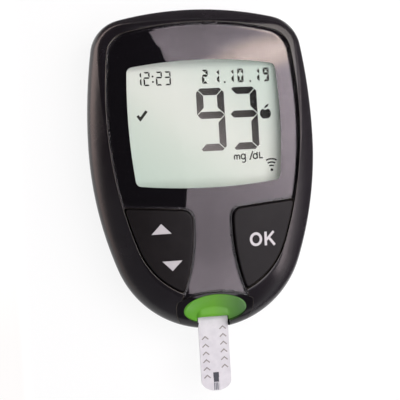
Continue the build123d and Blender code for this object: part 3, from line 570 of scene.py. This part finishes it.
for material, nodes in (
    (satin_abs, ("front_housing", "rear_housing", "battery_door")),
    (key_abs, ("ok_key", "arrow_key")),
    (gloss_abs, ("port_bezel",)),
    (lens_ink, ("lens_print",)),
    (acrylic, ("face_lens",)),
    (black_tape, ("lens_tape",)),
    (lit_green, ("strip_port",)),
    (strip_film, ("strip_base_film", "strip_cover_film")),
    (polarizer, ("lcd_front_polarizer", "lcd_rear_polarizer")),
    (cell_glass, ("lcd_front_glass", "lcd_rear_glass")),
    (spring_steel, ("ok_dome", "arrow_domes", "pcb_screws", "clock_crystal")),
    (gold_plate, ("strip_contacts", "cell_springs", "cell_clips")),
    (nickel_can, ("coin_cell_left", "coin_cell_right")),
    (solder_mask, ("main_pcb",)),
    (moulded_epoxy, ("microcontroller", "radio_module", "strip_amplifier")),
    (moulded_epoxy, ("storage_capacitor", "buzzer")),
    (white_pc, ("lcd_holder", "display_leds", "port_leds")),
    (guide_acrylic, ("light_guide",)),
    (silicone, ("zebra_strip",)),
    (filled_nylon, ("strip_connector",)),
):
    dress(material, *nodes)

# ---------------------------------------------------------------- printed marks
INK = 0.02  # how far a mark stands over what it is printed on
SAME_POINT = 0.001  # corners nearer to each other than this are one
STEEPEST = 0.5  # the least cosine of half a bend that a stroke widens for
THICKNESS, DOME_Y = 18, 2  # the face's crest: its height, and how far it lies to the head
ACROSS_R, ALONG_R = 78, 190  # radii of the face's dome


def domed(x, y):
    """Height of the face: an arc of ACROSS_R across it, swung about an axis at ALONG_R."""
    reach = ALONG_R - ACROSS_R + np.sqrt(ACROSS_R**2 - x**2)
    return THICKNESS - ALONG_R + np.sqrt(reach**2 - (y - DOME_Y) ** 2)


def level(height):
    """A flat height, for marks on a film or on the display."""
    return lambda x, y: np.full_like(x, height)


def ruled(left, right, height, closed=False, across=3):
    """A sheet ruled between a left and a right path of points.

    Place (t, s) lies a share s of the way from the left path's point t to the right path's,
    at the height of what carries it. Returns vertices and the faces of the t, s grid.
    """
    left, right = np.asarray(left, float), np.asarray(right, float)
    s = np.linspace(0, 1, across)[None, :, None]
    flat = left[:, None, :] * (1 - s) + right[:, None, :] * s
    x, y = flat[..., 0], flat[..., 1]
    vertices = np.stack([x, y, height(x, y) + INK], axis=-1).reshape(-1, 3)
    rows = len(left)
    t, k = np.meshgrid(
        np.arange(rows if closed else rows - 1), np.arange(across - 1), indexing="ij"
    )
    t, k = t.ravel(), k.ravel()
    ahead = (t + 1) % rows
    corners = [t * across + k, t * across + k + 1, ahead * across + k + 1, ahead * across + k]
    return vertices, np.stack(corners, axis=-1)


def stroke(points, width, height, closed=False):
    """A line of even width along a path.

    Each point moves out to both sides across the mean direction of the runs that meet in
    it, by half the width over the cosine of half their turn.
    """
    path = np.asarray(points, float)
    ahead = np.roll(path, -1, axis=0) - path
    if not closed:
        ahead[-1] = ahead[-2]
    behind = np.roll(ahead, 1, axis=0)
    if not closed:
        behind[0] = ahead[0]
    ahead /= np.linalg.norm(ahead, axis=1)[:, None]
    behind /= np.linalg.norm(behind, axis=1)[:, None]
    both = ahead + behind
    both /= np.linalg.norm(both, axis=1)[:, None]
    turn = np.maximum(STEEPEST, (both * ahead).sum(axis=1))
    offset = np.stack([-both[:, 1], both[:, 0]], axis=1) * (width / 2 / turn)[:, None]
    return ruled(path + offset, path - offset, height, closed)


def patch(corners, height, steps=9):
    """A patch between four corners, from the lower left one round to the upper left one."""
    a, b, c, d = (np.asarray(corner, float) for corner in corners)
    t = np.linspace(0, 1, steps)[:, None]
    return ruled(d * (1 - t) + a * t, c * (1 - t) + b * t, height, across=steps)


def disc(centre, radius, height, steps):
    """A spot: a fan from its centre to an outline, clockwise by the angle from the top.

    radius is a number, or a function of that angle.
    """
    angle = np.linspace(0, 2 * np.pi, steps, endpoint=False)
    reach = radius(angle) if callable(radius) else np.full_like(angle, radius)
    rim = centre + reach[:, None] * np.stack([np.sin(angle), np.cos(angle)], axis=1)
    return ruled(rim, np.broadcast_to(centre, rim.shape), height, closed=True)


def arc(centre, radii, start, end, steps):
    """Points of an elliptical arc between two angles in degrees."""
    angle = np.radians(np.linspace(start, end, steps))
    x, y = centre[0] + radii[0] * np.cos(angle), centre[1] + radii[1] * np.sin(angle)
    return np.stack([x, y], axis=1)


def ring(centre, radii, width, height, steps):
    """A line of even width all round an ellipse."""
    return stroke(arc(centre, radii, 0, 360, steps + 1)[:-1], width, height, closed=True)


def printed(name, sheets, material, body):
    """Join sheets into one thin piece of ink with a real thickness."""
    vertices, faces, count = [], [], 0
    for sheet_vertices, sheet_faces in sheets:
        vertices.append(sheet_vertices)
        faces.append(sheet_faces + count)
        count += len(sheet_vertices)
    made = piece(name, np.concatenate(vertices), np.concatenate(faces), material, body)
    made.modifiers.new("joined", "WELD").merge_threshold = SAME_POINT * MM
    thickness = made.modifiers.new("ink", "SOLIDIFY")
    thickness.thickness = INK * MM
    thickness.offset = -1


# The rocker's triangles and the other key's letters.
LETTER_LINE, ARM_LINE = 0.62, 0.6
up_corners = [(-14.76, -15.37), (-10.08, -15.32), (-12.39, -12.93), (-12.43, -12.93)]
down_corners = [(-10.2, -24.21), (-10.16, -24.21), (-7.81, -21.83), (-12.52, -21.85)]
triangles = [patch(up_corners, domed), patch(down_corners, domed)]
printed("rocker_triangles", triangles, key_ink, "arrow_key")
letters = [
    ring((10.28, -17.95), (1.25, 1.35), LETTER_LINE, domed, steps=40),
    stroke([(12.75, -19.6), (12.75, -16.3)], LETTER_LINE, domed),
    stroke([(12.95, -18.25), (14.85, -16.3)], ARM_LINE, domed),
    stroke([(13.45, -17.6), (15.05, -19.6)], ARM_LINE, domed),
]
printed("ok_letters", letters, key_ink, "ok_key")

# ---------------------------------------------------------------- display marks
glass_top = level(12.0)  # of the front polarizer
# Liquid crystal segments, switched on: they go from nearly black towards the head and the right
# to a middle grey towards the left and the foot.
segment_dark, tree = new_material("switched_liquid_crystal")
slanted = add_node(
    tree, "ShaderNodeMapping", {"Vector": millimetres(tree)}, {"Rotation": (0, 0, np.radians(-45))}
)
along = add_node(tree, "ShaderNodeSeparateXYZ", {"Vector": slanted.outputs["Vector"]})
darker_to_head_right = add_node(
    tree, "ShaderNodeMapRange", {"Value": along.outputs["X"]}, {"From Min": 4.5, "From Max": 20.0}
)
grey = add_node(tree, "ShaderNodeValToRGB", {"Fac": darker_to_head_right.outputs["Result"]})
grey.color_ramp.elements[0].color = linear("#6b6865")
grey.color_ramp.elements[1].color = linear("#0b0b0a")
grey.color_ramp.elements.new(0.5).color = linear("#403f3c")
crystal = add_node(
    tree,
    "ShaderNodeBsdfPrincipled",
    {"Base Color": grey.outputs["Color"]},
    {"Roughness": 0.45, "IOR": 1.5, "Specular IOR Level": 0.08},
)
add_node(tree, "ShaderNodeOutputMaterial", {"Surface": crystal.outputs["BSDF"]})
# The small segments block the light evenly: a dark olive grey, as matt as the polarizer.
segment_fine = opaque("switched_liquid_crystal_fine", "#22231e", roughness=0.45, specular=0.08)

# The bars that each figure lights: top, upper right, lower right, foot, lower left,
# upper left and middle.
LIT = {"0": "abcdef", "1": "bc", "2": "abged", "3": "abgcd", "9": "abcdfg"}
WAIST = 0.57  # height of the middle bar, as a share of the figure's
TIP = 0.02  # how far a bar's tip is cut back
DOT_STEPS = 9


def bar(start, along, length, thick, gap, cuts):
    """One bar of a figure, with its outer edge on the line from start.

    At a place u along it, the outer edge stands max(0, cut - u) in from that line at the
    start and likewise at the end, and the inner edge min(thick, u - gap), so both ends are
    mitred at 45 degrees.
    """
    start, along = np.asarray(start, float), np.asarray(along, float)
    inward = np.array([along[1], -along[0]])
    tips = [(cuts[0] + gap) / 2 + TIP, length - (cuts[1] + gap) / 2 - TIP]
    bends = [cuts[0], thick + gap, length - thick - gap, length - cuts[1]]
    u = np.unique(np.clip(tips + bends, *tips))
    outer = np.maximum(0, np.maximum(cuts[0] - u, cuts[1] - length + u))
    inner = np.minimum(thick, np.minimum(u - gap, length - u - gap))
    line = start + u[:, None] * along
    return ruled(line + outer[:, None] * inward, line + inner[:, None] * inward, glass_top)


def figure(sign, left, foot, width, height, thick, gap, cut):
    """The lit bars of one figure, clockwise round its two boxes."""
    right, top, waist = left + width, foot + height, foot + WAIST * height
    upper, lower, half = top - waist, waist - foot, thick / 2
    bars = {
        "a": [((left, top), (1, 0), width, thick, gap, (cut, cut))],
        "b": [((right, top), (0, -1), upper, thick, gap, (cut, 0))],
        "c": [((right, waist), (0, -1), lower, thick, gap, (0, cut))],
        "d": [((right, foot), (-1, 0), width, thick, gap, (cut, cut))],
        "e": [((left, foot), (0, 1), lower, thick, gap, (cut, 0))],
        "f": [((left, waist), (0, 1), upper, thick, gap, (0, cut))],
        "g": [
            ((left, waist), (1, 0), width, half, gap, (0, 0)),
            ((right, waist), (-1, 0), width, half, gap, (0, 0)),
        ],
    }
    return [bar(*sizes) for name in LIT[sign] for sizes in bars[name]]


def row_of(signs, lefts, **sizes):
    """Figures side by side, as one list of sheets."""
    return [sheet for sign, left in zip(signs, lefts) for sheet in figure(sign, left, **sizes)]


def shown(name, sheets, crystal):
    """A group of the display's segments, switched on."""
    printed(name, sheets, crystal, "case")


reading = row_of(
    "93", (-1.5, 6.65), foot=3.97, width=6.85, height=15.3, thick=1.72, gap=0.13, cut=1.05
)
shown("reading_digits", reading, segment_dark)
clock = row_of(
    "1223",
    (-16.1, -14.05, -11.05, -8.95),
    foot=20.35,
    width=1.55,
    height=3.4,
    thick=0.38,
    gap=0.07,
    cut=0.2,
)
clock += [disc((-11.8, y), 0.24, glass_top, DOT_STEPS) for y in (21.3, 22.6)]
shown("clock_digits", clock, segment_fine)
days = row_of(
    "211019",
    (0.2, 3.0, 6.6, 9.0, 13.0, 15.4),
    foot=20.4,
    width=1.5,
    height=3.4,
    thick=0.6,
    gap=0.06,
    cut=0.22,
)
days += [disc((x, 20.6), 0.26, glass_top, DOT_STEPS) for x in (5.77, 12.15)]
shown("calendar_digits", days, segment_fine)

# A tick, a piece of fruit for a meal, the unit, and a plain mark of arcs for the radio.
TICK_LINE = 0.68
tick = [stroke([(-16.0, 13.3), (-15.35, 12.4), (-13.75, 14.35)], TICK_LINE, glass_top)]
shown("target_tick", tick, segment_fine)


def fruit(angle):
    """Outline of an apple by the angle from its top: 1.38 mm, a tenth more towards the stem
    and a tenth less towards the foot, less a bell-shaped dent at each."""
    from_stem = np.minimum(angle, 2 * np.pi - angle)
    stem_dent = 0.62 * np.exp(-((from_stem / 0.33) ** 2))
    foot_dent = 0.22 * np.exp(-(((np.pi - from_stem) / 0.25) ** 2))
    return 1.38 + 0.14 * np.cos(angle) - stem_dent - foot_dent


leaf_side = [(15.28, 13.75), (15.32, 14.15), (15.55, 14.5), (15.95, 14.75), (16.38, 14.85)]
leaf_back = [(15.32, 13.74), (15.62, 13.95), (15.98, 14.15), (16.25, 14.42), (16.42, 14.82)]
meal = [disc((15.45, 12.4), fruit, glass_top, steps=60), ruled(leaf_side, leaf_back, glass_top)]
shown("meal_mark", meal, segment_dark)

UNIT_FOOT, UNIT_LINE, SLASH_LINE = 1.6, 0.31, 0.32
ARCH_SPRING = 0.75  # how far over the foot an arch starts to bend


def arch(left, right):
    """A letter's arch: up from the foot, over, and down again."""
    radius = (right - left) / 2
    over = arc((left + radius, UNIT_FOOT + ARCH_SPRING), (radius, radius), 180, 0, steps=9)
    return stroke([(left, UNIT_FOOT), *over, (right, UNIT_FOOT)], UNIT_LINE, glass_top)


def bowl(middle, rise):
    """A letter's round bowl, whose middle stands over the foot by its rise."""
    return ring((middle, UNIT_FOOT + rise), (0.5, 0.6), UNIT_LINE, glass_top, steps=20)


hook = arc((9.3, 1.25), (0.45, 0.4), 0, -140, steps=9)
unit = [
    arch(7.05, 7.7),
    arch(7.7, 8.35),
    bowl(9.25, 0.65),
    stroke([(9.75, 2.9), (9.75, 1.3), *hook], UNIT_LINE, glass_top),
    stroke([(10.85, 1.33), (11.7, 3.45)], SLASH_LINE, glass_top),
    bowl(12.25, 0.6),
    stroke([(12.75, UNIT_FOOT), (12.75, 3.2)], UNIT_LINE, glass_top),
    stroke([(13.35, 3.2), (13.35, 1.72), (14.15, 1.72)], UNIT_LINE, glass_top),
]
shown("unit_letters", unit, segment_fine)
RADIO_FOOT, RADIO_LINE = (16.2, -1.35), 0.36
radio = [disc(RADIO_FOOT, RADIO_LINE, glass_top, steps=12)]
for radius in (1.1, 1.9, 2.7):
    wave = arc(RADIO_FOOT, (radius, radius), 120, 60, steps=13)
    radio.append(stroke(wave, RADIO_LINE, glass_top))
shown("radio_mark", radio, segment_fine)

# ---------------------------------------------------------------- marks on the strip
base_top, cover_top = level(8.05), level(8.2)  # of the strip's two films
CHEVRON_LINE, CHEVRON_HALF_WIDTH, CHEVRON_RISE, CHEVRON_PITCH = 0.3, 0.8, 0.7, 1.9


def block(left, foot, right, top, height):
    """A plain rectangle of ink."""
    return patch([(left, foot), (right, foot), (right, top), (left, top)], height, steps=3)


window = [block(-0.64, -52.6, 0.64, -51.5, base_top), block(-0.7, -51.5, 0.7, -50.2, cover_top)]
printed("reagent_window", window, reagent, "test_strip")
lines = [block(x, -54.6, x + 0.22, -52.7, base_top) for x in (-0.62, -0.22, 0.18)]
printed("sample_channel_lines", lines, channel_ink, "test_strip")
marks = []
for x, first in ((-2.2, -51.5), (2.3, -49.2)):
    for y in first + CHEVRON_PITCH * np.arange(6):
        chevron = [(x - CHEVRON_HALF_WIDTH, y), (x, y + CHEVRON_RISE), (x + CHEVRON_HALF_WIDTH, y)]
        marks.append(stroke(chevron, CHEVRON_LINE, cover_top))
printed("strip_marks", marks, strip_ink, "test_strip")
